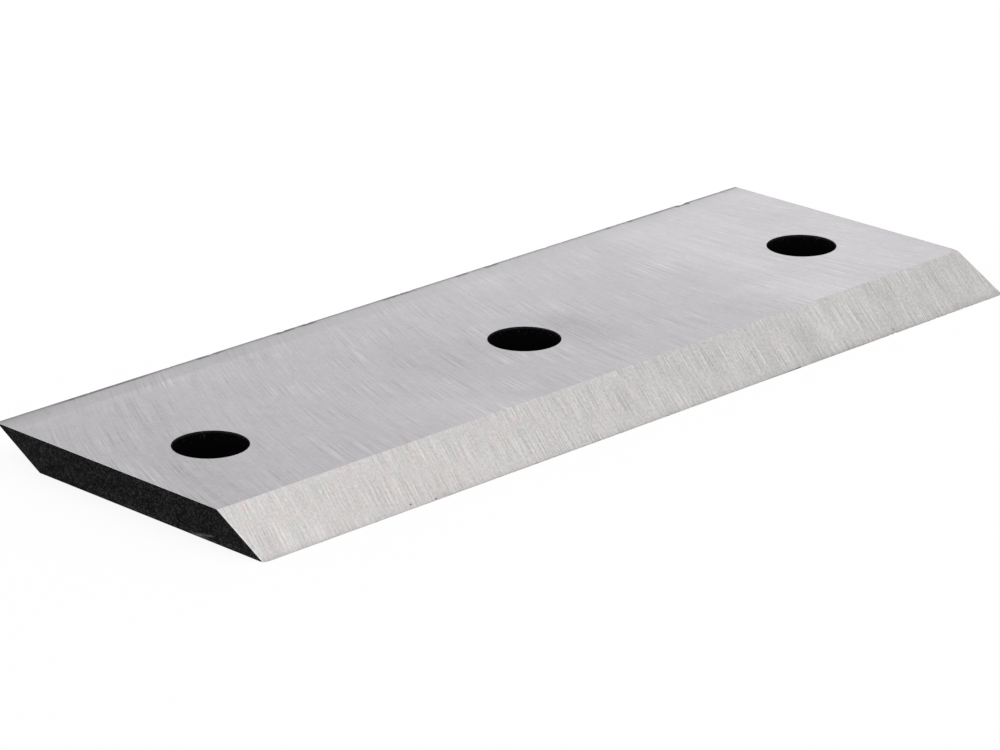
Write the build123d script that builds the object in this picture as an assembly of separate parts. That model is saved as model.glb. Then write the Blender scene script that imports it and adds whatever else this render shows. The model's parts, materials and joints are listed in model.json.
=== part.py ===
from build123d import *
from math import radians, tan
import os

# A chipper shredder blade: one hardened steel plate with flat ground faces, a cutting edge along
# each long side and a row of plain bolt holes. Sizes are in millimetres and angles in degrees.
#
# Across the blade the section is a parallelogram. The front side leans back as it rises and the
# back side leans the same way, so one cutting edge is at the bottom of the front and the other is
# at the top of the back. A half turn about the long axis swaps the two, which is how a dull blade
# gets its second edge.
#
# Origin: on the bottom face, in the middle of the blade, on the middle bolt hole's axis.
# +X runs along the blade, +Y towards its back and +Z up through its thickness.

# Driving sizes of the plate
thickness = 6.35
overall_width = 69.85  # from the front cutting edge to the back one
bevel_angle = 29  # between each bevelled side and the flat faces
edge_land = 0.15  # height of the narrow upright flat that backs each cutting edge

# Driving sizes of the row of bolt holes
hole_count = 3
hole_diameter = 13.5  # clears a 12.7 mm bolt
hole_pitch = 76.2
end_margin = 19.05  # from the last hole's centre to the end of the blade

# The worn tip, where the front cutting edge meets the left end
worn_length = 2.0  # along the cutting edge
worn_depth = 0.6  # along the end

# Sizes that follow from those above
length = (hole_count - 1) * hole_pitch + 2 * end_margin
half_length = length / 2
half_width = overall_width / 2
bevel_run = (thickness - edge_land) / tan(radians(bevel_angle))


def blade_section():
    """The parallelogram across the blade, with a land at each of its two sharp corners."""
    with BuildSketch(Plane.YZ) as section:
        with BuildLine():
            Polyline(
                (-half_width, 0),
                (-half_width, edge_land),
                (bevel_run - half_width, thickness),
                (half_width, thickness),
                (half_width, thickness - edge_land),
                (half_width - bevel_run, 0),
                close=True,
            )
        make_face()
    return section.sketch


def worn_corner():
    """The outline of what wear has taken from the tip: a corner square less a quarter ellipse."""
    centre = (worn_length - half_length, worn_depth - half_width)
    with BuildSketch() as outline:
        with Locations((-half_length, -half_width)):
            Rectangle(worn_length, worn_depth, align=(Align.MIN, Align.MIN))
        with Locations(centre):
            Ellipse(worn_length, worn_depth, mode=Mode.SUBTRACT)
    return outline.sketch


def make_blade():
    """The section drawn out to the blade's length, bored for its bolts, with the tip worn round."""
    with BuildPart() as blade:
        extrude(blade_section(), amount=half_length, both=True)
        with GridLocations(hole_pitch, 0, hole_count, 1):
            Hole(hole_diameter / 2)
        extrude(worn_corner(), amount=thickness, mode=Mode.SUBTRACT)
    return blade.part


os.makedirs("parts", exist_ok=True)
blade = make_blade()
export_step(blade, "parts/blade.step")
print(f"blade: {length:.2f} x {overall_width:.2f} x {thickness:.2f} mm, {blade.volume:.0f} mm3")
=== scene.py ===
# %% [markdown]
# # A chipper shredder blade
#
# This lesson dresses a flat steel chipper blade for a photograph. The blade is one plate of
# hardened steel. Its two flat faces and its two slanted sides are ground bright, while the ends and
# the walls of the bolt holes keep the black skin that the hardening furnace leaves.
#
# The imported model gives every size, so it is loaded first and then left alone. Everything that
# follows is fitted to what it says.

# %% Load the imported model
import json
from math import acos, atan2, cos, hypot, pi, radians, sin

import bpy
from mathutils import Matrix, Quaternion, Vector


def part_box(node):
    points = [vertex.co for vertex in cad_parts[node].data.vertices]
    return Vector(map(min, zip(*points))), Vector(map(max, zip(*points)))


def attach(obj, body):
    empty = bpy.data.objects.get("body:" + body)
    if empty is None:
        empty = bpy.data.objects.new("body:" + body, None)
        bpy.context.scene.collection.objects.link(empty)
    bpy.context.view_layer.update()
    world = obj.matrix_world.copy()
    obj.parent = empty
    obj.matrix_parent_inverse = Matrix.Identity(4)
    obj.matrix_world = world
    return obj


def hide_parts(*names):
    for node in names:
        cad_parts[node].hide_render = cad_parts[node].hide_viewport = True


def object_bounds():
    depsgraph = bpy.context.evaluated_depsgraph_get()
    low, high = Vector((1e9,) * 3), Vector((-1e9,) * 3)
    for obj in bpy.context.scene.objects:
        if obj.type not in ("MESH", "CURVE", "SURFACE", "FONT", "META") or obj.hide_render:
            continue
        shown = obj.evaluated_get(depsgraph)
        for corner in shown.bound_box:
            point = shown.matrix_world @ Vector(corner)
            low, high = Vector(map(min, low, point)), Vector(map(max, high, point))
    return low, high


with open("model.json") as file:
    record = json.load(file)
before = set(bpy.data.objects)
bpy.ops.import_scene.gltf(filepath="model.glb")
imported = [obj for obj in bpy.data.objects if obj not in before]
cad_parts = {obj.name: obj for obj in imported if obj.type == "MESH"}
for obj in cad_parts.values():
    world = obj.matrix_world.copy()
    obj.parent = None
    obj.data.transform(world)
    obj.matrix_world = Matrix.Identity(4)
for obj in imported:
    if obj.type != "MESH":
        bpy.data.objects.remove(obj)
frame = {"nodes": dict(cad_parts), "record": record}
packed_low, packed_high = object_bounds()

MM = 0.001
print("nodes in the packed model:", sorted(frame["nodes"]))

# %% [markdown]
# ## Read the sizes from the model
#
# A blade like this is known by a handful of sizes: its length, width and thickness, the row of
# holes, how far each slanted side runs, and the narrow upright land that backs each cutting edge.
# They could be typed in again, but then a change to the model would leave this scene behind. The
# box of the node gives three of them, the record's mounts give the holes, and the corners of the
# plate's own mesh give the shoulder and the land.

# %% Sizes of the plate and of the row of holes
low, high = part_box("blade")
length = high.x - low.x
width = high.y - low.y
thickness = high.z - low.z
half_length = length / 2
half_width = width / 2

sliver = 0.01 * MM
corners = [vertex.co for vertex in frame["nodes"]["blade"].data.vertices]
shoulder_y = min(c.y for c in corners if c.z > high.z - sliver)
land = max(c.z for c in corners if c.y < low.y + sliver) - low.z
bevel_run = shoulder_y - low.y
bevel_slope = (thickness - land) / bevel_run

bores = [mount for mount in frame["record"]["mounts"] if mount["kind"] == "bore"]
hole_radius = bores[0]["dims"]["r_mm"] * MM
hole_count = len(bores)
hole_pitch = bores[1]["pos_m"][0] - bores[0]["pos_m"][0]

print(f"plate {length / MM:.2f} x {width / MM:.2f} x {thickness / MM:.2f} mm")
print(f"bevel run {bevel_run / MM:.2f} mm, land {land / MM:.2f} mm")
print(f"{hole_count} holes of radius {hole_radius / MM:.2f} mm, {hole_pitch / MM:.2f} mm apart")

# %% [markdown]
# ## Two helpers for node trees
#
# Shaders and Geometry Nodes are both trees of nodes, and written out link by link they hide the
# arithmetic in them. So one small class wraps an output socket and overloads Python's operators:
# an expression such as `1 - mask * 0.2` adds its own Math nodes. Every other node comes from one
# method, which takes the node's type, then its settings, then the value or link of each socket.

# %% A socket that can be used in arithmetic
class Wire:
    """One output of a node. Arithmetic on it adds Math nodes to the same tree."""

    def __init__(self, recipe, socket):
        self.recipe = recipe
        self.socket = socket

    def out(self, name):
        """Another output of the same node."""
        return Wire(self.recipe, self.socket.node.outputs[name])

    def __add__(self, other):
        return self.recipe.maths("ADD", self, other)

    def __radd__(self, other):
        return self.recipe.maths("ADD", other, self)

    def __sub__(self, other):
        return self.recipe.maths("SUBTRACT", self, other)

    def __rsub__(self, other):
        return self.recipe.maths("SUBTRACT", other, self)

    def __mul__(self, other):
        return self.recipe.maths("MULTIPLY", self, other)

    def __rmul__(self, other):
        return self.recipe.maths("MULTIPLY", other, self)

    def __truediv__(self, other):
        return self.recipe.maths("DIVIDE", self, other)

    def __rtruediv__(self, other):
        return self.recipe.maths("DIVIDE", other, self)

    def __neg__(self):
        return self.recipe.maths("MULTIPLY", self, -1)

    def __gt__(self, other):
        return self.recipe.maths("GREATER_THAN", self, other)

    def __lt__(self, other):
        return self.recipe.maths("LESS_THAN", self, other)


# %% A tree whose nodes all come from one method
class Recipe:
    """A node tree, for a finish or for geometry, that is written as expressions."""

    def __init__(self, tree):
        self.tree = tree

    def node(self, kind, settings=None, sockets=None):
        """Adds a node: its settings first, then each socket's value, link or list of links."""
        node = self.tree.nodes.new(kind)
        for name, value in (settings or {}).items():
            setattr(node, name, value)
        for name, value in (sockets or {}).items():
            self.feed(node, name, value)
        return Wire(self, next((s for s in node.outputs if s.enabled), None))

    def feed(self, node, name, value):
        """Sets or links one input, named by its label or by its place among those in use."""
        in_use = [socket for socket in node.inputs if socket.enabled]
        by_place = isinstance(name, int)
        socket = in_use[name] if by_place else next(s for s in in_use if s.name == name)
        for one in value if isinstance(value, list) else [value]:
            if isinstance(one, Wire):
                self.tree.links.new(one.socket, socket)
            else:
                socket.default_value = one

    def maths(self, operation, *values):
        return self.node("ShaderNodeMath", {"operation": operation}, dict(enumerate(values)))

    def vector(self, x, y, z):
        return self.node("ShaderNodeCombineXYZ", {}, {"X": x, "Y": y, "Z": z})

    def split(self, vector):
        parts = self.node("ShaderNodeSeparateXYZ", {}, {"Vector": vector})
        return parts.out("X"), parts.out("Y"), parts.out("Z")


print("helpers ready: Wire and Recipe")

# %% [markdown]
# ## Parts that the finishes share
#
# All the finishes are patterns laid out in millimetres on the blade itself, so each begins with the
# Object coordinates. Grinding marks are noise that has been pulled out long in one direction: the
# noise is fed with the distance across the marks divided by a small width, and the distance along
# them divided by a long reach. `ramp` is the soft step that fades a pattern in or out.

# %% Helpers for finishes
def new_finish(name):
    """An empty material and the recipe that will fill it."""
    material = bpy.data.materials.new(name)
    material.use_nodes = True
    material.node_tree.nodes.clear()
    return material, Recipe(material.node_tree)


def place_in_mm(recipe):
    """The three Object coordinates, in millimetres."""
    spot = recipe.node("ShaderNodeTexCoord").out("Object")
    scaled = recipe.node("ShaderNodeVectorMath", {"operation": "SCALE"}, {"Vector": spot, "Scale": 1 / MM})
    return recipe.split(scaled)


def noise(recipe, place, detail=2.0, roughness=0.5):
    """Noise from about 0 to 1 with a mean of 0.5, one feature to each unit of place."""
    values = {"Vector": place, "Scale": 1.0, "Detail": detail, "Roughness": roughness}
    return recipe.node("ShaderNodeTexNoise", {"noise_dimensions": "3D"}, values)


def marks(recipe, across, along, wide, long, layer, detail=2.0):
    """Noise drawn out into marks. Each layer number gives a pattern of its own."""
    return noise(recipe, recipe.vector(across / wide, along / long, layer), detail)


def ramp(recipe, value, start, end):
    """Rises smoothly from 0 where value is at start to 1 where it is at end."""
    limits = {"Value": value, "From Min": start, "From Max": end}
    return recipe.node("ShaderNodeMapRange", {"interpolation_type": "SMOOTHSTEP"}, limits)


def tinted(recipe, level, colour):
    """A colour times a level, which may vary from point to point."""
    settings = {"operation": "SCALE"}
    return recipe.node("ShaderNodeVectorMath", settings, {"Vector": colour, "Scale": level})


BARE_METAL = {"Metallic": 1.0}


def fill_finish(recipe, colour, roughness, height, depth, constants):
    """Ends a finish: a height map in millimetres becomes a bump, and the shader is put out."""
    bump_sockets = {"Strength": 1.0, "Distance": depth * MM, "Height": height}
    bump = recipe.node("ShaderNodeBump", {}, bump_sockets)
    sockets = {"Base Color": colour, "Roughness": roughness, "Normal": bump}
    shader = recipe.node("ShaderNodeBsdfPrincipled", {}, {**sockets, **constants})
    recipe.node("ShaderNodeOutputMaterial", {}, {"Surface": shader})


print("finish helpers ready")

# %% [markdown]
# ## The ground flat faces
#
# The flat faces are ground on a rotary table. The plate lies on a turning table while the rim of a
# large wheel, whose shaft is upright, crosses the table's middle. Each grain on the rim therefore
# leaves an arc, and the arcs fan out over the plate: they lean to the right at one end and to the
# left at the other.
#
# A set of such arcs has a simple formula. At a distance `reach` from the table's middle, a rim of
# radius R that passes through that middle has turned by acos(reach / 2R). Adding that to the angle
# round the table gives a number that stays the same all along one arc, which is exactly the
# coordinate that the noise has to be fast in. Pictures of scratches could be painted instead, but
# the formula puts every arc in its true place, on both faces, at any size.

# %% Where the grinder stood, in millimetres from the blade's middle
TABLE_X = 104.7
TABLE_Y = 144.3
WHEEL_RADIUS = 244.4


def arc_coordinates(recipe, x, y, turn):
    """The pair (across the arcs, along them), both in millimetres. turn is 1 or -1."""
    from_x = x - TABLE_X
    from_y = y - TABLE_Y
    reach = recipe.maths("SQRT", from_x * from_x + from_y * from_y)
    round_table = recipe.maths("ARCTAN2", from_x, -from_y)
    rim_turn = recipe.maths("ARCCOSINE", reach / (2 * WHEEL_RADIUS))
    return (round_table + rim_turn * turn) * hypot(TABLE_X, TABLE_Y), reach


def arc_place(x, y):
    """The same pair for one known point, as plain numbers."""
    from_x = x - TABLE_X
    from_y = y - TABLE_Y
    reach = hypot(from_x, from_y)
    turned = atan2(from_x, -from_y) + acos(reach / (2 * WHEEL_RADIUS))
    return turned * hypot(TABLE_X, TABLE_Y), reach


# %% [markdown]
# ## Marks that stand out
#
# Chance alone would never put the few marks that catch the eye where they are on this blade, so
# they are named one by one, in millimetres. A mark is given by its middle, half its breadth, half
# its length and how much it darkens the steel, where a value below zero lightens it, and it
# follows the grinding round it. A broad, faint mark makes a soft patch. A spot is round, so it
# needs only a place, a radius and a darkness.

# %% Helpers for one mark and one spot
def one_mark(recipe, across, along, place_across, place_along, half_breadth, half_reach):
    """1 in the middle of a mark, falling to 0 at its sides and ends."""
    side = recipe.maths("ABSOLUTE", across - place_across) / half_breadth
    end = recipe.maths("ABSOLUTE", along - place_along) / half_reach
    return (1 - ramp(recipe, side, 0.0, 1.0)) * (1 - ramp(recipe, end, 0.3, 1.0))


def one_spot(recipe, across, up, place, radius):
    """1 in the middle of a spot, falling to 0 at its radius."""
    off_x = across - place[0]
    off_y = up - place[1]
    distance = recipe.maths("SQRT", off_x * off_x + off_y * off_y)
    return 1 - ramp(recipe, distance / radius, 0.4, 1.0)


print("helpers ready: one_mark and one_spot")

# %% Patches, marks and spots on the upper face
# Soft patches, where the wheel bore harder or lighter.
SOFT_PATCHES = [
    ((11, -3), 10, 12, 0.15),
    ((-8, 2), 6, 8, 0.07),
    ((-18, 4), 18, 15, 0.07),
    ((-80, 6), 8, 34, 0.06),
    ((-42, 30), 10, 6, 0.05),
    ((25, -9), 13, 8, 0.045),
    ((85, 22), 16, 14, 0.065),
    ((70, 31), 14, 5, 0.045),
    ((-30, -24), 27, 11, -0.10),
    ((58, -20), 18, 13, -0.10),
    ((78, -13), 9, 10, -0.055),
    ((61, 10), 7, 22, -0.075),
    ((17, 29), 20, 9, -0.055),
]

# Single scratches and short dark marks.
STRONG_MARKS = [
    ((-89.0, 17.0), 0.5, 10, 0.10),
    ((-76.1, 19.0), 0.6, 11, 0.07),
    ((-89.2, -11.2), 0.8, 9, 0.07),
    ((-81.4, -5.9), 0.3, 1.4, 0.14),
    ((-16.9, -12.6), 0.4, 9, 0.06),
    ((13.5, -0.4), 0.4, 19, 0.06),
    ((13.0, 3.0), 1.5, 7, 0.07),
    ((33.0, 1.0), 0.5, 10, 0.05),
    ((39.0, -17.0), 2.5, 5, 0.06),
    ((60.4, 19.7), 0.5, 8, -0.04),
]

# Spots the size of a pin's head.
FACE_SPOTS = [
    ((4.8, 33.9), 0.7, 0.20),
    ((23.8, 33.6), 0.6, 0.14),
    ((-20.4, 33.9), 0.5, 0.20),
    ((-46.7, 33.9), 0.5, 0.18),
    ((-86.1, 31.8), 0.6, 0.18),
    ((90.9, 33.9), 0.9, 0.16),
    ((40.6, 33.0), 0.5, 0.14),
    ((-10.9, 19.3), 0.4, 0.30),
    ((30.2, -18.7), 0.5, 0.12),
    ((94.0, 11.8), 0.5, -0.18),
]
print(len(SOFT_PATCHES), "patches,", len(STRONG_MARKS), "marks,", len(FACE_SPOTS), "spots on the face")

# %% Dark stretches of the back edge: partly burr, partly painted shade in the nicks
# The middle of each along the blade, half its length and how much darker it is.
BURR_AND_SHADE_STRETCHES = [
    (-71.5, 13.0, 0.28),
    (-48.0, 1.8, 0.35),
    (-44.2, 1.2, 0.25),
    (-28.0, 2.8, 0.42),
    (-22.3, 2.2, 0.42),
    (0.8, 5.0, 0.34),
    (17.4, 2.0, 0.36),
    (25.2, 2.4, 0.40),
    (57.8, 0.7, 0.30),
    (63.8, 0.8, 0.34),
    (72.0, 1.2, 0.16),
    (77.5, 0.7, 0.55),
    (78.9, 0.9, 0.40),
    (80.3, 0.7, 0.60),
]
print(len(BURR_AND_SHADE_STRETCHES), "dark stretches along the back edge")

# %% [markdown]
# ## The finish of the flat faces
#
# Marks of three widths are added up, because a wheel wears unevenly and leaves hair-fine scratches
# on top of wide soft bands. A few single scratches go deeper, fainter ones cross them where the rim
# grazed the plate on its way back, and short grit breaks them all up. Slow clouds make the whole
# stronger in some places than in others, and the right third, which met the wheel last, is a little
# brighter. Along the back edge chips have rubbed a strip dull. It has an inner border of its own,
# and a fine dark line runs along its rim: partly a burr, partly painted shade of the rolled edge and
# of the nicks. Thin dark lines of painted shade also run along the ends, where the edges roll over.

# %% Where a point lies on a flat face
ground_face, face = new_finish("ground_face")
x, y, z = place_in_mm(face)

# A half turn about the long axis lays one face where the other was, so y changes sign below.
is_upper = z > thickness / MM / 2
y = y * (is_upper * 2 - 1)
across, along = arc_coordinates(face, x, y, 1)
back_across, back_along = arc_coordinates(face, x, y, -1)
from_edge = half_width / MM - y
from_end = half_length / MM - face.maths("ABSOLUTE", x)
print("flat faces: laid out along arcs of radius", WHEEL_RADIUS, "mm")

# %% Scratches on the flat faces
fine = marks(face, across, along, wide=0.24, long=14, layer=0)
middling = marks(face, across, along, wide=0.7, long=16, layer=7)
broad = marks(face, across, along, wide=3.2, long=20, layer=19)
cross = marks(face, back_across, back_along, wide=0.35, long=5, layer=13, detail=1.0)
single = marks(face, across, along, wide=0.5, long=16, layer=21, detail=1.0)
grit = marks(face, across, along, wide=0.5, long=0.9, layer=5, detail=3.0)
mottle = marks(face, across, along, wide=1.5, long=2.6, layer=9)
clouds = noise(face, face.vector(x / 11, y / 8, 31), 3.0)

strength = 0.35 + ramp(face, clouds, 0.36, 0.66) * 1.1
strength = strength * (0.95 + ramp(face, x, -70.0, -10.0) * 0.09 + ramp(face, x, 20.0, 60.0) * 0.06)
deep = ramp(face, single, 0.56, 0.76)
texture = (fine - 0.5) * 0.80 + (middling - 0.5) * 0.26 - deep * 0.03
texture = texture * strength + (cross - 0.5) * 0.08 + (grit - 0.5) * 0.32 + (mottle - 0.5) * 0.18
texture = texture + (broad - 0.5) * 0.12 + (clouds - 0.5) * 0.10

# The named marks and spots are seen on the upper face alone.
for place, half_breadth, half_reach, darker in SOFT_PATCHES + STRONG_MARKS:
    one = one_mark(face, across, along, *arc_place(*place), half_breadth, half_reach)
    texture = texture - one * (is_upper * darker)
for place, radius, darker in FACE_SPOTS:
    texture = texture - one_spot(face, x, y, place, radius) * (is_upper * darker)
print("flat faces: scratches ready")

# %% The dark burr and painted shade along the back edge
BURR_AND_SHADE_DARKEST = 0.9

ragged = marks(face, x, y, wide=1.6, long=4.0, layer=41, detail=3.0) - 0.5
burr_and_shade_noise = noise(face, face.vector(x / 1.7, 0.0, 45), 3.0)
burr_and_shade = 0.32 + ramp(face, burr_and_shade_noise, 0.35, 0.7) * 0.12 + ramp(face, x, 50.0, 72.0) * 0.15
burr_and_shade = burr_and_shade + ramp(face, x, -88.0, -80.0) * 0.08
for middle, half_reach, darker in BURR_AND_SHADE_STRETCHES:
    from_middle = face.maths("ABSOLUTE", x - middle + (burr_and_shade_noise - 0.5) * 2) / half_reach
    burr_and_shade = burr_and_shade + (1 - ramp(face, from_middle, 0.5, 1.1)) * (is_upper * darker)

# A darker line is a broader one too. It is partly a burr and partly painted shade of the rolled edge and
# of the nicks.
burr_and_shade_line = 1 - ramp(face, from_edge + ragged * 0.2 - burr_and_shade * 0.7, 0.0, 0.4)
burr_and_shade_line = burr_and_shade_line * face.maths("MINIMUM", burr_and_shade, BURR_AND_SHADE_DARKEST)
print("flat faces: burr ready")

# %% The rubbed strip along the back edge
STRIP_BREADTH = 4.3
BORDER_BREADTH = 1.0

left_part = 1 - ramp(face, x, -85.0, -15.0)
inside_strip = 1 - ramp(face, from_edge + ragged * 0.5, STRIP_BREADTH, STRIP_BREADTH + BORDER_BREADTH)
strip_share = 0.075 + ramp(face, x, -82.0, -72.0) * 0.025 - ramp(face, x, -50.0, 20.0) * 0.060
rubbed_strip = inside_strip * (strip_share + ramp(face, x, 50.0, 65.0) * 0.02)
bright_line = ramp(face, from_edge, 4.9, 5.7) * (1 - ramp(face, from_edge, 6.0, 8.0)) * left_part * 0.025
near_ends = (1 - ramp(face, x, -92.0, -70.0)) * 0.11 + ramp(face, x, 50.0, 65.0) * 0.06
edge_fade = (1 - ramp(face, from_edge + ragged, 1.0, 4.2)) * (near_ends + 0.045)
# Within about a millimetre and a half of the back edge the steel is darker: partly wear of the honed edge,
# partly painted shade where the edge rolls over.
edge_wear_and_shade = (1 - ramp(face, from_edge + ragged * 0.8, 0.1, 1.6)) * (0.22 + left_part * 0.08)
print("flat faces: rubbed strip", STRIP_BREADTH, "mm broad")

# %% The ends of the flat faces, and the whole finish
# Along the middle of the blade, the third that was ground last begins softly between these.
LAST_THIRD = (44, 56)

back_part = ramp(face, y, -20.0, 32.0)
left_tip = 1 - ramp(face, x, -98.0, -72.0)
right_end = x > 0.0
last_from, last_to = (arc_place(along_blade, 0)[0] for along_blade in LAST_THIRD)
finished_last = ramp(face, across + (clouds - 0.5) * 12, last_from, last_to)
end_fade = (1 - ramp(face, from_end + ragged, 0.5, 3.6)) * right_end * 0.05
# A thin dark line of painted shade runs along the ends, where the edges roll over; it is darkest at the
# right end.
painted_end_shade = (1 - ramp(face, from_end + ragged * 0.4, 0.0, 0.5)) * (0.04 + right_end * 0.20)

level = (1 + texture * (1 - inside_strip * 0.35) + bright_line) * (1 + finished_last * 0.09)
level = level * (1 - back_part * 0.03 - left_tip * 0.05)
level = level * (1 - rubbed_strip) * (1 - edge_fade) * (1 - edge_wear_and_shade) * (1 - burr_and_shade_line)
level = level * (1 - end_fade) * (1 - painted_end_shade)

face_colour = tinted(face, level, (0.3825, 0.3685, 0.3888))
face_roughness = 0.30 + (fine - 0.5) * 0.10
fill_finish(face, face_colour, face_roughness, fine, 0.004, BARE_METAL)
print("finish:", ground_face.name)

# %% [markdown]
# ## The ground bevels
#
# Each slanted side is ground in a fixture that carries the blade straight past the wheel, so its
# marks are straight and parallel. They cross the bevel at about seventy-four degrees to the edge.
# The distance up the slope is worked out from how far a point is from the cutting edge, and the
# same formula serves both bevels, since a half turn swaps them. The named patches and spots belong
# to the front bevel alone.

# %% Patches and spots on the front bevel
# Soft patches, each at its distance along the blade and up the slope.
BEVEL_PATCHES = [
    ((43.5, 3.0), 5, 9, 0.13),
    ((19.0, 9.0), 5, 7, 0.07),
    ((12.0, 10.0), 3, 5, 0.08),
    ((70.0, 10.0), 3, 6, 0.06),
    ((84.0, 3.0), 3, 6, 0.08),
    ((50.0, 9.0), 4, 8, -0.09),
    ((58.0, 8.0), 6, 8, -0.05),
    ((15.0, 3.0), 3, 6, -0.06),
    ((-32.0, 2.0), 4, 6, -0.05),
    ((-41.0, 6.0), 3, 5, -0.06),
    ((-88.0, 3.0), 4, 6, -0.07),
]

# Spots the size of a pin's head, placed in the same way.
BEVEL_SPOTS = [
    ((-61.3, 0.84), 0.30, 0.70),
    ((63.9, 0.77), 0.30, 0.55),
    ((-67.6, 0.54), 0.30, 0.20),
    ((-55.9, 0.05), 0.50, 0.45),
    ((-53.4, -0.10), 1.20, 0.16),
]
print(len(BEVEL_PATCHES), "patches and", len(BEVEL_SPOTS), "spots on the front bevel")

# %% Where a point lies on a bevel
BEVEL_MARK_ANGLE = radians(73.5)

ground_bevel, bevel = new_finish("ground_bevel")
x, y, _ = place_in_mm(bevel)
up_slope = (half_width / MM - bevel.maths("ABSOLUTE", y)) * hypot(1, bevel_slope)
slope_length = bevel_run / MM * hypot(1, bevel_slope)
is_front = y < 0.0


def bevel_place(x, up_slope):
    """The pair (across the marks, along them). It takes plain numbers as well as wires."""
    across = x * sin(BEVEL_MARK_ANGLE) - up_slope * cos(BEVEL_MARK_ANGLE)
    along = x * cos(BEVEL_MARK_ANGLE) + up_slope * sin(BEVEL_MARK_ANGLE)
    return across, along


across, along = bevel_place(x, up_slope)
print(f"bevels: {slope_length:.2f} mm from cutting edge to shoulder")

# %% Scratches on the bevels
fine = marks(bevel, across, along, wide=0.165, long=9, layer=3)
middling = marks(bevel, across, along, wide=0.6, long=10, layer=11)
broad = marks(bevel, across, along, wide=3.5, long=12, layer=15)
single = marks(bevel, across, along, wide=0.40, long=9, layer=17, detail=1.0)
grit = marks(bevel, across, along, wide=0.4, long=0.7, layer=25)
clouds = noise(bevel, bevel.vector(x / 7, up_slope / 6, 35), 2.0)
bright = ramp(bevel, single, 0.62, 0.72)
dark = 1 - ramp(bevel, single, 0.28, 0.38)
bands = (middling - 0.5) * 0.17 + (broad - 0.5) * (0.16 + ramp(bevel, x, 15.0, 45.0) * 0.10)
texture = (fine - 0.5) * 0.90 + bands * (0.5 + ramp(bevel, x, -55.0, -15.0) * 0.5)
texture = texture + (grit - 0.5) * 0.52 + bright * 0.06 - dark * 0.05
texture = texture * (0.96 + ramp(bevel, x, -50.0, -20.0) * 0.18) + (clouds - 0.5) * 0.08
for place, half_breadth, half_reach, darker in BEVEL_PATCHES:
    one = one_mark(bevel, across, along, *bevel_place(*place), half_breadth, half_reach)
    texture = texture - one * (is_front * darker)
for place, radius, darker in BEVEL_SPOTS:
    texture = texture - one_spot(bevel, x, up_slope, place, radius) * (is_front * darker)
print("bevels: scratches ready")

# %% Edges of the bevels
from_end = half_length / MM - bevel.maths("ABSOLUTE", x)
ragged = marks(bevel, x, up_slope, wide=1.2, long=3.0, layer=43, detail=3.0) - 0.5
right_part = ramp(bevel, x, -60.0, 60.0)
near_tips = ramp(bevel, bevel.maths("ABSOLUTE", x), 84.0, 92.0)
fade_share = 0.05 + right_part * 0.05 + near_tips * 0.05
edge_fade = (1 - ramp(bevel, up_slope + ragged, 0.0, 1.8)) * fade_share

# Along the cutting edge a dark line is painted: partly wear, partly shade from the land and the floor's
# contact shadow. It is darkest in the middle of the right half, and darker again at the left end.
line_share = 0.08 - ramp(bevel, x, -78.0, -60.0) * 0.06
line_share = line_share + ramp(bevel, x, 36.0, 44.0) * (0.10 - ramp(bevel, x, 66.0, 76.0) * 0.07)
edge_wear_and_shade = (1 - ramp(bevel, up_slope + ragged * 0.3, 0.1, 0.55)) * line_share
# A thin dark line of painted shade runs along the ends of the bevels, where the edges roll over.
painted_end_shade = (1 - ramp(bevel, from_end + ragged * 0.3, 0.0, 0.5)) * 0.12
# A faint painted highlight runs along the shoulder.
painted_shoulder_highlight = ramp(bevel, up_slope, slope_length - 1.8, slope_length - 0.6) * 0.012
level = (1 + texture + painted_shoulder_highlight) * (1 - edge_fade) * (1 - edge_wear_and_shade) * (1 - painted_end_shade)
print("bevels: edges ready")

# %% A flush of colour, and the whole finish
# The steel takes a faint warm colour where the wheel ran hot, in streaks and in small flecks.
FLUSH_COLOUR = (0.79, -0.58, -0.21)

streaks = marks(bevel, across, along, wide=2.4, long=5, layer=47, detail=3.0)
flecks = marks(bevel, across, along, wide=0.5, long=1.5, layer=49)
flush = ramp(bevel, streaks + flecks * 0.7, 0.78, 1.24) - 0.06 - ramp(bevel, x, -60.0, 40.0) * 0.22
flush_share = 0.042 - ramp(bevel, x, -20.0, 50.0) * 0.018 + (1 - ramp(bevel, x, -92.0, -80.0)) * 0.030
flush_tint = tinted(bevel, flush * flush_share, FLUSH_COLOUR)
bare_colour = tinted(bevel, level, (0.542, 0.527, 0.518))
bevel_colour = bevel.node("ShaderNodeVectorMath", {"operation": "ADD"}, {0: bare_colour, 1: flush_tint})
bevel_roughness = 0.34 + (fine - 0.5) * 0.12
fill_finish(bevel, bevel_colour, bevel_roughness, fine, 0.005, BARE_METAL)
print("finish:", ground_bevel.name)

# %% [markdown]
# ## The black skin
#
# The furnace leaves a thin black skin on the steel, and grinding takes it off only where the wheel
# reaches. It is nearly black, dull and slightly speckled. A plain black would look like a hole in
# the picture, so the colour varies a little from grain to grain, and low on the left end two short
# light streaks are painted glints. The walls of the holes are painted darker still, as the shade
# deep inside them, with a painted band of light and a few pale burr crumbs with painted glints just
# under the upper rim.

# %% The finish of the ends
black_scale, scale = new_finish("black_scale")
x, y, z = place_in_mm(scale)
grain = noise(scale, scale.vector(x / 0.3, y / 0.4, z / 0.3), 3.0, 0.6)
blots = noise(scale, scale.vector(x / 3, y / 4, z / 2.5 + 9), 2.0)
level = 0.12 + ramp(scale, grain, 0.40, 0.80) * 4.1 + (blots - 0.5) * 1.2
# Low down towards the front the ends are made lighter, and beside the bevel a thin painted highlight runs
# along the edge, where it catches the light.
beside_bevel = y + half_width / MM - z / bevel_slope
low_down = (1 - ramp(scale, z, 0.2, 2.2)) * (1 - ramp(scale, y, 5.0, 16.0))
level = level * (1 + low_down * 0.42 + (1 - ramp(scale, beside_bevel, 0.2, 1.4)) * 0.35)

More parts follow.
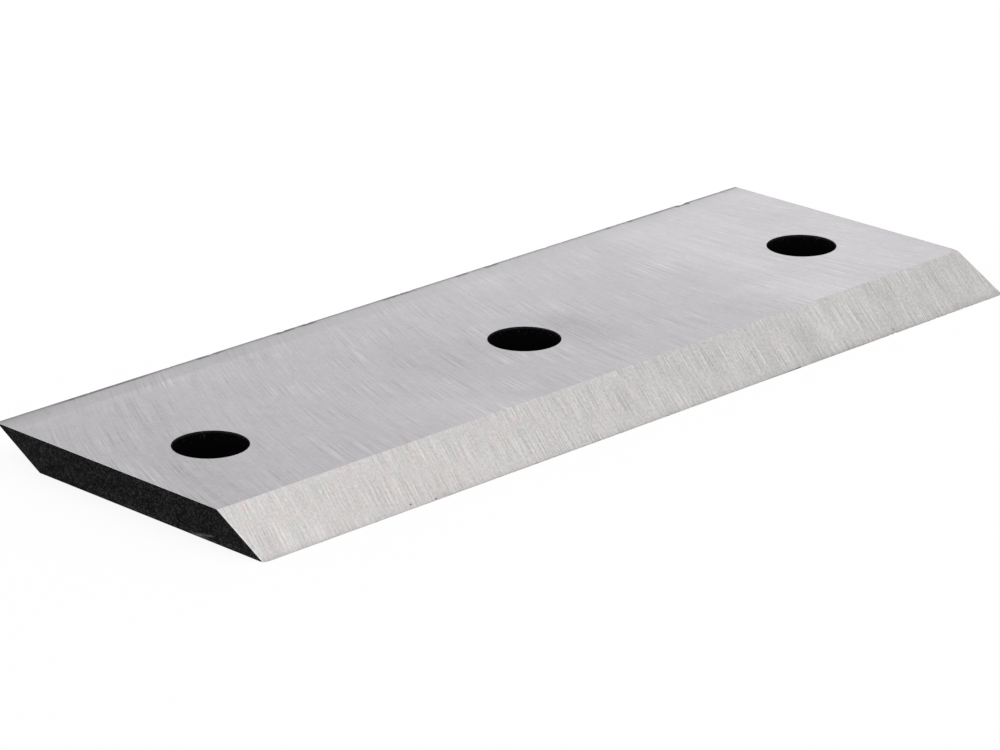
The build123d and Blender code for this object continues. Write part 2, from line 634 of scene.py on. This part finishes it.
# Each painted glint is a short light streak, given by its middle, half its length, its height and its
# slant, in millimetres.
PAINTED_GLINTS = [(-18.8, 3.2, 0.30, 0.0), (-20.2, 3.0, 0.78, 0.16)]
GLINT_HALF_BREADTH = 0.34

for middle, half_reach, height, slant in PAINTED_GLINTS:
    off_line = scale.maths("ABSOLUTE", z + (y - middle) * slant - height) / GLINT_HALF_BREADTH
    off_middle = scale.maths("ABSOLUTE", y - middle) / half_reach
    glint = (1 - ramp(scale, off_line, 0.2, 1.0)) * (1 - ramp(scale, off_middle, 0.3, 1.0))
    streak = noise(scale, scale.vector(0.0, y / 3, (z + y * slant) / 0.12), 2.0)
    level = level + glint * (x < 0.0) * (streak - 0.2) * (0.5 + grain) * 19.0

scale_black = (0.0088, 0.0088, 0.0090)
dull = {"Specular IOR Level": 0.03}
fill_finish(scale, tinted(scale, level, scale_black), 0.5 + grain * 0.2, grain, 0.02, dull)
print("finish:", black_scale.name)

# %% The finish of the hole walls, painted with shade and light
shaded_hole_wall, hole_shade = new_finish("shaded_hole_wall")
x, y, z = place_in_mm(hole_shade)
grain = noise(hole_shade, hole_shade.vector(x / 0.6, y / 0.6, z / 0.8), 3.0)
depth_down = thickness / MM - z
# The walls are painted far darker than the black ends, as shade deep in the holes. Just under the upper
# rim a lighter band is painted light, and pale crumbs of burr carry painted glints.
burr_crumbs_and_glints = ramp(hole_shade, noise(hole_shade, hole_shade.vector(x / 0.35, y / 0.35, z / 0.35), 1.0), 0.62, 0.74)
burr_crumbs_and_glints = burr_crumbs_and_glints * (1 - ramp(hole_shade, depth_down, 0.3, 2.5))
painted_rim_light = 1 - ramp(hole_shade, depth_down - (grain - 0.5) * 0.4, 0.15, 0.55)
level = 0.4 + grain * 1.2 + burr_crumbs_and_glints * 16 + painted_rim_light * 8
painted_shade_colour = tinted(hole_shade, level, (0.0016, 0.0016, 0.0017))
fill_finish(hole_shade, painted_shade_colour, 0.7 + grain * 0.2, grain, 0.01, {"Specular IOR Level": 0.01})
print("finish:", shaded_hole_wall.name)

# %% [markdown]
# ## The broken edges and the cutting edges
#
# Where a ground side meets a black end, a file has broken the sharp edge into a narrow bright
# strip. The cutting edges are the opposite: the upright lands and the nicks along them are rubbed
# dull and grey by wood and grit. In the middle of their right half they are painted darker, as shade
# standing in for the contact shadow under the edge.

# %% The finishes of the edges
edge_break, edge = new_finish("edge_break")
x, y, z = place_in_mm(edge)
grain = noise(edge, edge.vector(x / 0.7, y / 0.7, z / 0.7), 3.0)
edge_colour = tinted(edge, 0.6 + grain * 0.8, (0.72, 0.71, 0.70))
fill_finish(edge, edge_colour, 0.30 + grain * 0.1, grain, 0.01, BARE_METAL)

worn_and_shaded_edge, worn = new_finish("worn_and_shaded_edge")
x, y, z = place_in_mm(worn)
grain = noise(worn, worn.vector(x / 0.9, y / 0.6, z / 0.6), 3.0)
lighter = ramp(worn, x, -60.0, -35.0) * 0.12
# The right half is painted darker, most of all in its middle: painted shade, standing in for the contact
# shadow under the cutting edges.
darker = ramp(worn, x, 15.0, 45.0) * (0.32 - ramp(worn, x, 70.0, 90.0) * 0.20)
worn_and_shaded_colour = tinted(worn, (0.5 + grain) * (1 + lighter - darker), (0.52, 0.51, 0.51))
fill_finish(worn, worn_and_shaded_colour, 0.40 + grain * 0.1, grain, 0.01, BARE_METAL)
print("finishes:", edge_break.name, "and", worn_and_shaded_edge.name)

# %% [markdown]
# ## Geometry Nodes helpers
#
# The blade follows a rule from end to end, so its shape is a Geometry Nodes tree with its sizes as
# named inputs. A tree's inputs are set on the modifier by each socket's identifier, before the
# object is evaluated for the first time.

# %% Helpers for trees of geometry
SOCKET_KINDS = {float: "NodeSocketFloat", int: "NodeSocketInt"}


def new_shape(name):
    """An empty Geometry Nodes tree that hands one geometry on."""
    tree = bpy.data.node_groups.new(name, "GeometryNodeTree")
    tree.interface.new_socket("Geometry", in_out="INPUT", socket_type="NodeSocketGeometry")
    tree.interface.new_socket("Geometry", in_out="OUTPUT", socket_type="NodeSocketGeometry")
    return Recipe(tree)


def named_inputs(recipe, values):
    """Adds one input for each named value. Returns the wires by name, and the identifiers."""
    identifiers = {}
    for name, value in values.items():
        kind = SOCKET_KINDS[type(value)]
        item = recipe.tree.interface.new_socket(name, in_out="INPUT", socket_type=kind)
        identifiers[item.identifier] = value
    start = recipe.node("NodeGroupInput")
    return {name: start.out(name) for name in ["Geometry", *values]}, identifiers


def add_tree(piece, recipe, identifiers):
    """Puts the tree on the piece as a modifier, with its inputs set."""
    modifier = piece.modifiers.new(recipe.tree.name, "NODES")
    modifier.node_group = recipe.tree
    for identifier, value in identifiers.items():
        modifier[identifier] = value


def pick_by_index(recipe, vectors):
    """The vector whose place in the list is the point's own index."""
    switch = recipe.node("GeometryNodeIndexSwitch", {"data_type": "VECTOR"})
    node = switch.socket.node
    while len(node.index_switch_items) < len(vectors):
        node.index_switch_items.new()
    recipe.feed(node, "Index", recipe.node("GeometryNodeInputIndex"))
    for place, vector in enumerate(vectors):
        recipe.feed(node, str(place), vector)
    return switch


print("geometry helpers ready")

# %% [markdown]
# ## The blank
#
# The blank is one section, swept from end to end, with a row of holes through it. The section has
# six corners: a parallelogram whose two sharp corners are cut off upright by the lands. The holes
# and the other cuts are taken away together in one Boolean. The blank is hardened before it is
# ground, so it is black all over until then.

# %% The section and its sweep
HOLE_SIDES = 128

blank = new_shape("blade_blank")
sizes, blank_values = named_inputs(
    blank,
    {
        "Length": length,
        "Width": width,
        "Thickness": thickness,
        "Bevel Run": bevel_run,
        "Land": land,
        "Hole Count": hole_count,
        "Hole Pitch": hole_pitch,
        "Hole Radius": hole_radius,
    },
)
front = sizes["Width"] * -0.5
back = sizes["Width"] * 0.5
top = sizes["Thickness"]
section_corners = [
    (front, 0.0),
    (back - sizes["Bevel Run"], 0.0),
    (back, top - sizes["Land"]),
    (back, top),
    (front + sizes["Bevel Run"], top),
    (front, sizes["Land"]),
]

# The sweep lays its section out half a turn round, so each corner is given half a turn back.
turned_corners = [blank.vector(across * -1, up * -1, 0.0) for across, up in section_corners]
pick = pick_by_index(blank, turned_corners)
ring = blank.node("GeometryNodeCurvePrimitiveCircle", {}, {"Resolution": len(section_corners)})
section = blank.node("GeometryNodeSetPosition", {}, {"Geometry": ring, "Position": pick})
rail = blank.node(
    "GeometryNodeCurvePrimitiveLine",
    {},
    {
        "Start": blank.vector(sizes["Length"] * -0.5, 0.0, 0.0),
        "End": blank.vector(sizes["Length"] * 0.5, 0.0, 0.0),
    },
)
sweep = {"Curve": rail, "Profile Curve": section, "Fill Caps": True}
bar = blank.node("GeometryNodeCurveToMesh", {}, sweep)
print("section of", len(section_corners), "corners, swept along", f"{length / MM:.1f} mm")

# %% [markdown]
# ## The row of holes
#
# The holes are a line of points at the pitch with a drill on each. A drill is a plain column, and a
# shallow cone at each face stands for the deburring tool that breaks the two rims of the hole.

# %% Drills and deburring cones
RIM_BREAK = 0.08 * MM
SPARE = 2.0 * MM


def on_each_hole(tool, height):
    """Puts one copy of a tool on each hole's axis, at a height above the bottom face."""
    row = blank.node(
        "GeometryNodeMeshLine",
        {},
        {
            "Count": sizes["Hole Count"],
            "Start Location": blank.vector(first_hole, 0.0, height),
            "Offset": blank.vector(sizes["Hole Pitch"], 0.0, 0.0),
        },
    )
    return blank.node("GeometryNodeInstanceOnPoints", {}, {"Points": row, "Instance": tool})


def deburring_cone(radius_below, radius_above):
    sockets = {
        "Vertices": HOLE_SIDES,
        "Radius Bottom": sizes["Hole Radius"] + radius_below,
        "Radius Top": sizes["Hole Radius"] + radius_above,
        "Depth": 2 * SPARE,
    }
    return blank.node("GeometryNodeMeshCone", {}, sockets)


first_hole = (sizes["Hole Count"] - 1) * sizes["Hole Pitch"] * -0.5
column = {"Vertices": HOLE_SIDES, "Radius": sizes["Hole Radius"], "Depth": top * 3}
drills = on_each_hole(blank.node("GeometryNodeMeshCylinder", {}, column), top * 0.5)
upper_cones = on_each_hole(deburring_cone(RIM_BREAK - SPARE, RIM_BREAK + SPARE), top - SPARE)
lower_cones = on_each_hole(deburring_cone(RIM_BREAK + SPARE, RIM_BREAK - SPARE), -SPARE)
print("drills with", HOLE_SIDES, "sides, rims broken by", RIM_BREAK / MM, "mm")

# %% [markdown]
# ## The worn tip
#
# The tip at the left end of the front cutting edge is worn round. What wear took away is a small
# block less an elliptical column, so that is how its cutter is made.

# %% Cutter for the worn tip
WORN_LENGTH = 2.0 * MM
WORN_DEPTH = 0.6 * MM
TIP_SIDES = 96

tip_block = blank.node("GeometryNodeMeshCube", {}, {"Size": (2 * SPARE, 2 * SPARE, 2 * SPARE)})
column_sizes = {"Vertices": TIP_SIDES, "Radius": 1.0, "Depth": 6 * SPARE}
tip_column = blank.node("GeometryNodeMeshCylinder", {}, column_sizes)
block_place = {
    "Geometry": tip_block,
    "Translation": (WORN_LENGTH - half_length - SPARE, WORN_DEPTH - half_width - SPARE, 0.0),
}
column_place = {
    "Geometry": tip_column,
    "Translation": (WORN_LENGTH - half_length, WORN_DEPTH - half_width, 0.0),
    "Scale": (WORN_LENGTH, WORN_DEPTH, 1.0),
}
tip = blank.node(
    "GeometryNodeMeshBoolean",
    {"operation": "DIFFERENCE", "solver": "MANIFOLD"},
    {
        "Mesh 1": blank.node("GeometryNodeTransform", {}, block_place),
        "Mesh 2": blank.node("GeometryNodeTransform", {}, column_place),
    },
)
print("worn tip", WORN_LENGTH / MM, "x", WORN_DEPTH / MM, "mm")

# %% [markdown]
# ## Edges broken with a file
#
# The edges round the two ends are broken with a stroke of a file, which takes off a narrow flat.
# A Bevel modifier would round every edge alike and trips over the thin lands, so the strokes are
# cut as they are made: each is a large block with one face where the file passed. A stroke needs
# only a point on the edge, the way the flat faces and how deep it goes. Three corners that use has
# knocked off are strokes too.

# %% The list of strokes
FLAT_BREAK = 0.03 * MM
BEVEL_BREAK = 0.15 * MM

bevel_normal = Vector((0, -bevel_slope, 1)).normalized()
bevel_middle = bevel_run / 2 - half_width
level_up = Vector((0, 0, 1))
end_edges = [
    (Vector((0, 0, thickness)), level_up, FLAT_BREAK),
    (Vector((0, 0, 0)), -level_up, FLAT_BREAK),
    (Vector((0, bevel_middle, thickness / 2)), bevel_normal, BEVEL_BREAK),
    (Vector((0, -bevel_middle, thickness / 2)), -bevel_normal, BEVEL_BREAK),
]
strokes = []
for end in (-1, 1):
    outward = Vector((end, 0, 0))
    for point, side_normal, depth in end_edges:
        flat_normal = (outward + side_normal).normalized()
        strokes.append((point + outward * half_length - flat_normal * depth / 2**0.5, flat_normal))


def corner_stroke(corner, *steps):
    """The stroke through three points, each a step away from a corner of the plate."""
    a, b, c = (Vector(corner) + Vector(step) * MM for step in steps)
    flat_normal = (b - a).cross(c - a).normalized()
    if flat_normal.dot(Vector(corner) - a) < 0:
        flat_normal = -flat_normal
    strokes.append((a, flat_normal))


# The shoulder's right end, the lower back corner of the left end, and the front edge's right end.
corner_stroke((half_length, shoulder_y, thickness), (-2.5, 0, 0), (0, 1.65, 0), (0, -0.31, -0.17))
corner_stroke((-half_length, half_width - bevel_run, 0), (0.6, 0, 0), (0, -0.45, 0), (0, 0.4, 0.22))
corner_stroke((half_length, -half_width, 0), (-0.9, 0, 0), (0, 0.3, 0), (0, 0, 0.2))
print(len(strokes), "file strokes")

# %% One block on each stroke
BLOCK_SIZE = 0.3

stroke_points = blank.node(
    "GeometryNodePoints",
    {},
    {"Count": len(strokes), "Position": pick_by_index(blank, [tuple(point) for point, _ in strokes])},
)
facing = blank.node(
    "FunctionNodeAlignRotationToVector",
    {"axis": "Z"},
    {"Vector": pick_by_index(blank, [tuple(normal) for _, normal in strokes])},
)
block = blank.node("GeometryNodeMeshCube", {}, {"Size": (BLOCK_SIZE, BLOCK_SIZE, BLOCK_SIZE)})
raised_block = {"Geometry": block, "Translation": (0.0, 0.0, BLOCK_SIZE / 2)}
file_cuts = blank.node(
    "GeometryNodeInstanceOnPoints",
    {},
    {
        "Points": stroke_points,
        "Instance": blank.node("GeometryNodeTransform", {}, raised_block),
        "Rotation": facing,
    },
)
print("blocks of", BLOCK_SIZE, "m stand on the strokes")

# %% Cut the blank and leave it black
WELD = 0.002 * MM

cut = blank.node(
    "GeometryNodeMeshBoolean",
    {"operation": "DIFFERENCE", "solver": "MANIFOLD"},
    {"Mesh 1": bar, "Mesh 2": [drills, upper_cones, lower_cones, tip, file_cuts]},
)
whole = blank.node("GeometryNodeMergeByDistance", {}, {"Geometry": cut, "Distance": WELD})
solid = blank.node("GeometryNodeRealizeInstances", {}, {"Geometry": whole})
blackened = blank.node("GeometryNodeSetMaterial", {}, {"Geometry": solid, "Material": black_scale})
blank.node("NodeGroupOutput", {}, {"Geometry": blackened})
print("blank tree has", len(blank.tree.nodes), "nodes")

# %% [markdown]
# ## Grinding and use
#
# A second tree works on the hardened blank. It first takes the nicks away, which are small rounded
# wedges along each cutting edge. A few are put where they can be seen on the real blade, and the
# rest are scattered from a fixed seed, so that every run nicks the same places. Then the tree gives
# each face its finish by the way the face points, just as grinding does: flat faces and bevels come
# out bright, other faces near a cutting edge are worn, the rest of the broken edges are bright, and
# what no wheel or file reaches stays black.

# %% Nicks along the cutting edges
NICK_COUNT = 46
NICK_SEED = 5

# The largest chance nick: half its length, depth and height, in millimetres.
LARGEST_CHANCE_NICK = (0.35, 0.16, 0.12)

# Each seen nick has its place along the blade, then half its length, depth and height, in mm.
BACK_NICKS = [
    (-46.0, 0.9, 0.16, 0.12),
    (-28.5, 0.8, 0.20, 0.14),
    (-22.3, 0.8, 0.16, 0.12),
    (4.0, 1.1, 0.16, 0.12),
    (25.3, 1.2, 0.14, 0.12),
    (40.3, 0.6, 0.20, 0.14),
    (78.9, 1.2, 0.38, 0.30),
]
FRONT_NICKS = [
    (62.4, 0.4, 0.20, 0.16),
    (63.7, 0.5, 0.24, 0.20),
    (75.9, 0.4, 0.20, 0.16),
    (79.2, 0.4, 0.20, 0.16),
    (84.0, 0.5, 0.22, 0.18),
]

used = new_shape("ground_and_used")
used_inputs, used_values = named_inputs(used, {"Nick Count": NICK_COUNT, "Seed": NICK_SEED})
wedge = used.node("GeometryNodeMeshIcoSphere", {}, {"Radius": 1.0, "Subdivisions": 2})


def wedges(count, spot, reach):
    """One wedge on each of a number of points, with its own half sizes, as plain mesh."""
    points = used.node("GeometryNodePoints", {}, {"Count": count, "Position": spot})
    sockets = {"Points": points, "Instance": wedge, "Scale": reach}
    row = used.node("GeometryNodeInstanceOnPoints", {}, sockets)
    return used.node("GeometryNodeRealizeInstances", {}, {"Geometry": row})


def chance_nicks(y_edge, z_edge, row_number):
    """Small nicks at random places along one cutting edge."""
    settings = {"data_type": "FLOAT"}
    seed = used_inputs["Seed"] + 10 * row_number
    share = used.node("FunctionNodeRandomValue", settings, {"Seed": seed})
    size_range = {"Seed": seed + 1, "Min": 0.4, "Max": 1.0}
    size = used.node("FunctionNodeRandomValue", settings, size_range)
    spot = used.vector((share - 0.5) * length, y_edge, z_edge)
    reach = used.vector(*(size * half * MM for half in LARGEST_CHANCE_NICK))
    return wedges(used_inputs["Nick Count"], spot, reach)


def seen_nicks(nicks, y_edge, z_edge):
    """The nicks of a list, each in its own place along one cutting edge."""
    spots = [(along_edge * MM, y_edge, z_edge) for along_edge, *_ in nicks]
    sizes_in_mm = [tuple(half * MM for half in halves) for _, *halves in nicks]
    return wedges(len(nicks), pick_by_index(used, spots), pick_by_index(used, sizes_in_mm))


back_edge = (half_width, thickness - land / 2)
front_edge = (-half_width, land / 2)
all_nicks = [
    chance_nicks(*back_edge, 0),
    chance_nicks(*front_edge, 1),
    seen_nicks(BACK_NICKS, *back_edge),
    seen_nicks(FRONT_NICKS, *front_edge),
]
nicked = used.node(
    "GeometryNodeMeshBoolean",
    {"operation": "DIFFERENCE", "solver": "MANIFOLD"},
    {"Mesh 1": used_inputs["Geometry"], "Mesh 2": all_nicks},
)
print(2 * NICK_COUNT, "chance nicks and", len(BACK_NICKS) + len(FRONT_NICKS), "seen ones")

# %% Finishes by the way each face points
NEARLY = 0.9999
NEARLY_LEVEL = 0.9
HOLE_ZONE = 10.0 * MM
END_ZONE = 2.0 * MM
EDGE_ZONE = 0.4 * MM

normal_x, normal_y, normal_z = used.split(used.node("GeometryNodeInputNormal"))
spot_x, spot_y, _ = used.split(used.node("GeometryNodeInputPosition"))
along_bevel_normal = (normal_z - normal_y * bevel_slope) / hypot(1, bevel_slope)
off_middle = used.maths("ABSOLUTE", spot_y)
is_face = used.maths("ABSOLUTE", normal_z) > NEARLY_LEVEL
is_bevel = used.maths("ABSOLUTE", along_bevel_normal) > NEARLY
is_end = used.maths("ABSOLUTE", normal_x) > NEARLY
in_hole = (off_middle < HOLE_ZONE) * (used.maths("ABSOLUTE", spot_x) < half_length - END_ZONE)
is_round = in_hole * (used.maths("ABSOLUTE", normal_z) < 1 - NEARLY)
is_edge = (1 - is_face) * (1 - is_bevel) * (1 - is_end) * (1 - in_hole)
is_worn = is_edge * (off_middle > half_width - EDGE_ZONE)

shading = {"Geometry": nicked, "Shade Smooth": is_round}
painted = used.node("GeometryNodeSetShadeSmooth", {"domain": "FACE"}, shading)
painted = used.node("GeometryNodeMergeByDistance", {}, {"Geometry": painted, "Distance": WELD})
painted = used.node("GeometryNodeRealizeInstances", {}, {"Geometry": painted})
for where, finish in (
    (is_round, shaded_hole_wall),
    (is_edge, edge_break),
    (is_worn, worn_and_shaded_edge),
    (is_bevel, ground_bevel),
    (is_face, ground_face),
):
    sockets = {"Geometry": painted, "Selection": where, "Material": finish}
    painted = used.node("GeometryNodeSetMaterial", {}, sockets)
used.node("NodeGroupOutput", {}, {"Geometry": painted})
print("second tree has", len(used.tree.nodes), "nodes")

# %% [markdown]
# ## Make the blade
#
# The two modifiers run in the order of the work: the blank, then grinding and use. The result is
# turned into a plain mesh, because nothing else may depend on live modifiers.

# %% Run the modifiers and keep the mesh
ground_blade = bpy.data.objects.new("ground_blade", bpy.data.meshes.new("start"))
bpy.context.scene.collection.objects.link(ground_blade)
add_tree(ground_blade, blank, blank_values)
add_tree(ground_blade, used, used_values)

evaluated = ground_blade.evaluated_get(bpy.context.evaluated_depsgraph_get())
made = bpy.data.meshes.new_from_object(evaluated)
made.name = "ground_blade"
made.materials.pop(index=list(made.materials).index(None))
ground_blade.modifiers.clear()
ground_blade.data = made

finish_faces = {}
for polygon in made.polygons:
    name = made.materials[polygon.material_index].name
    finish_faces[name] = finish_faces.get(name, 0) + 1
print("blade:", len(made.vertices), "points,", len(made.polygons), "faces,", finish_faces)

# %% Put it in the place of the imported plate
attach(ground_blade, "root")
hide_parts("blade")

# %% [markdown]
# ## The camera
#
# The camera stands at the photograph's place, in front and to the left, looking down a little. Its
# bearing, height and lens were found by matching the plate's corners and outlines and the rims of
# the holes.

# %% Camera
CAMERA_BEARING = radians(44.461)
CAMERA_ELEVATION = radians(19.962)
CAMERA_ROLL = radians(-0.384)
CAMERA_DISTANCE = 796.52 * MM
CAMERA_LENS = 158.08
SENSOR_WIDTH = 36.0
camera_target = Vector((-10.639, -4.406, 3.175)) * MM

looking = Vector(
    (
        sin(CAMERA_BEARING) * cos(CAMERA_ELEVATION),
        cos(CAMERA_BEARING) * cos(CAMERA_ELEVATION),
        -sin(CAMERA_ELEVATION),
    )
)
lens = bpy.data.cameras.new("camera")
lens.lens = CAMERA_LENS
lens.sensor_fit = "HORIZONTAL"
lens.sensor_width = SENSOR_WIDTH
lens.clip_start = 0.01
camera = bpy.data.objects.new("camera", lens)
bpy.context.scene.collection.objects.link(camera)
camera.rotation_mode = "QUATERNION"
camera.location = camera_target - looking * CAMERA_DISTANCE
camera.rotation_quaternion = looking.to_track_quat("-Z", "Y") @ Quaternion((0, 0, 1), CAMERA_ROLL)
bpy.context.scene.camera = camera
print("camera at", [round(c / MM, 1) for c in camera.location], "mm")

# %% [markdown]
# ## Floor and light
#
# The blade lies on a plain white floor under a plain white sky. The floor shows its own colour to
# the camera and in reflections through the Light Path node, and a small share of it stays an
# ordinary surface, so that it keeps the blade's shadow.

# %% Floor
FLOOR_SIZE = 8.0
FLOOR_DROP = 0.02 * MM
SHOWN_WHITE = 0.86
PURE_WHITE = (1.0, 1.0, 1.0, 1.0)

floor_finish, paint = new_finish("pale_floor")
rays = paint.node("ShaderNodeLightPath")
shown = rays.out("Is Camera Ray") + rays.out("Is Glossy Ray") + rays.out("Is Transmission Ray")
plain = paint.node("ShaderNodeBsdfDiffuse", {}, {"Color": (0.9, 0.9, 0.9, 1.0)})
white = paint.node("ShaderNodeEmission", {}, {"Color": PURE_WHITE, "Strength": 1.0})
share = paint.maths("MINIMUM", shown, 1.0) * SHOWN_WHITE
surface = paint.node("ShaderNodeMixShader", {}, {"Fac": share, 1: plain, 2: white})
paint.node("ShaderNodeOutputMaterial", {}, {"Surface": surface})

half_floor = FLOOR_SIZE / 2
floor_height = packed_low.z - FLOOR_DROP
floor_sides = [(-1, -1), (1, -1), (1, 1), (-1, 1)]
floor_corners = [(a * half_floor, b * half_floor, floor_height) for a, b in floor_sides]
floor_mesh = bpy.data.meshes.new("floor")
floor_mesh.from_pydata(floor_corners, [], [(0, 1, 2, 3)])
floor_mesh.materials.append(floor_finish)
floor = bpy.data.objects.new("floor", floor_mesh)
bpy.context.scene.collection.objects.link(floor)
print("floor:", FLOOR_SIZE, "m square")

# %% Sky and softboxes
sky = bpy.data.worlds.new("sky")
sky.use_nodes = True
background = sky.node_tree.nodes["Background"]
background.inputs["Color"].default_value = PURE_WHITE
background.inputs["Strength"].default_value = 1.0
bpy.context.scene.world = sky


def softbox(name, place, aim, size, brightness):
    """A soft panel. A brightness of 1 is that of white paper in plain light."""
    panel = bpy.data.lights.new(name, "AREA")
    panel.shape = "RECTANGLE"
    panel.size, panel.size_y = size
    panel.energy = brightness * pi * size[0] * size[1]
    lamp = bpy.data.objects.new(name, panel)
    lamp.location = place
    lamp.rotation_mode = "QUATERNION"
    lamp.rotation_quaternion = (Vector(aim) - Vector(place)).to_track_quat("-Z", "Y")
    lamp.visible_camera = False
    bpy.context.scene.collection.objects.link(lamp)
    print(f"{name}: {panel.energy:.2f} W")


softbox("softbox_above", (0.10, 0.0, 0.60), (0.0, 0.0, 0.0), (0.8, 0.6), 0.3)
softbox("softbox_behind", (0.45, 0.45, 0.08), (0.05, 0.0, 0.0), (0.9, 0.14), 1.5)

# %% [markdown]
# ## View settings
#
# The settings keep the picture's colours as they are computed.

# %% View settings, and the end
bpy.context.scene.view_settings.view_transform = "Standard"
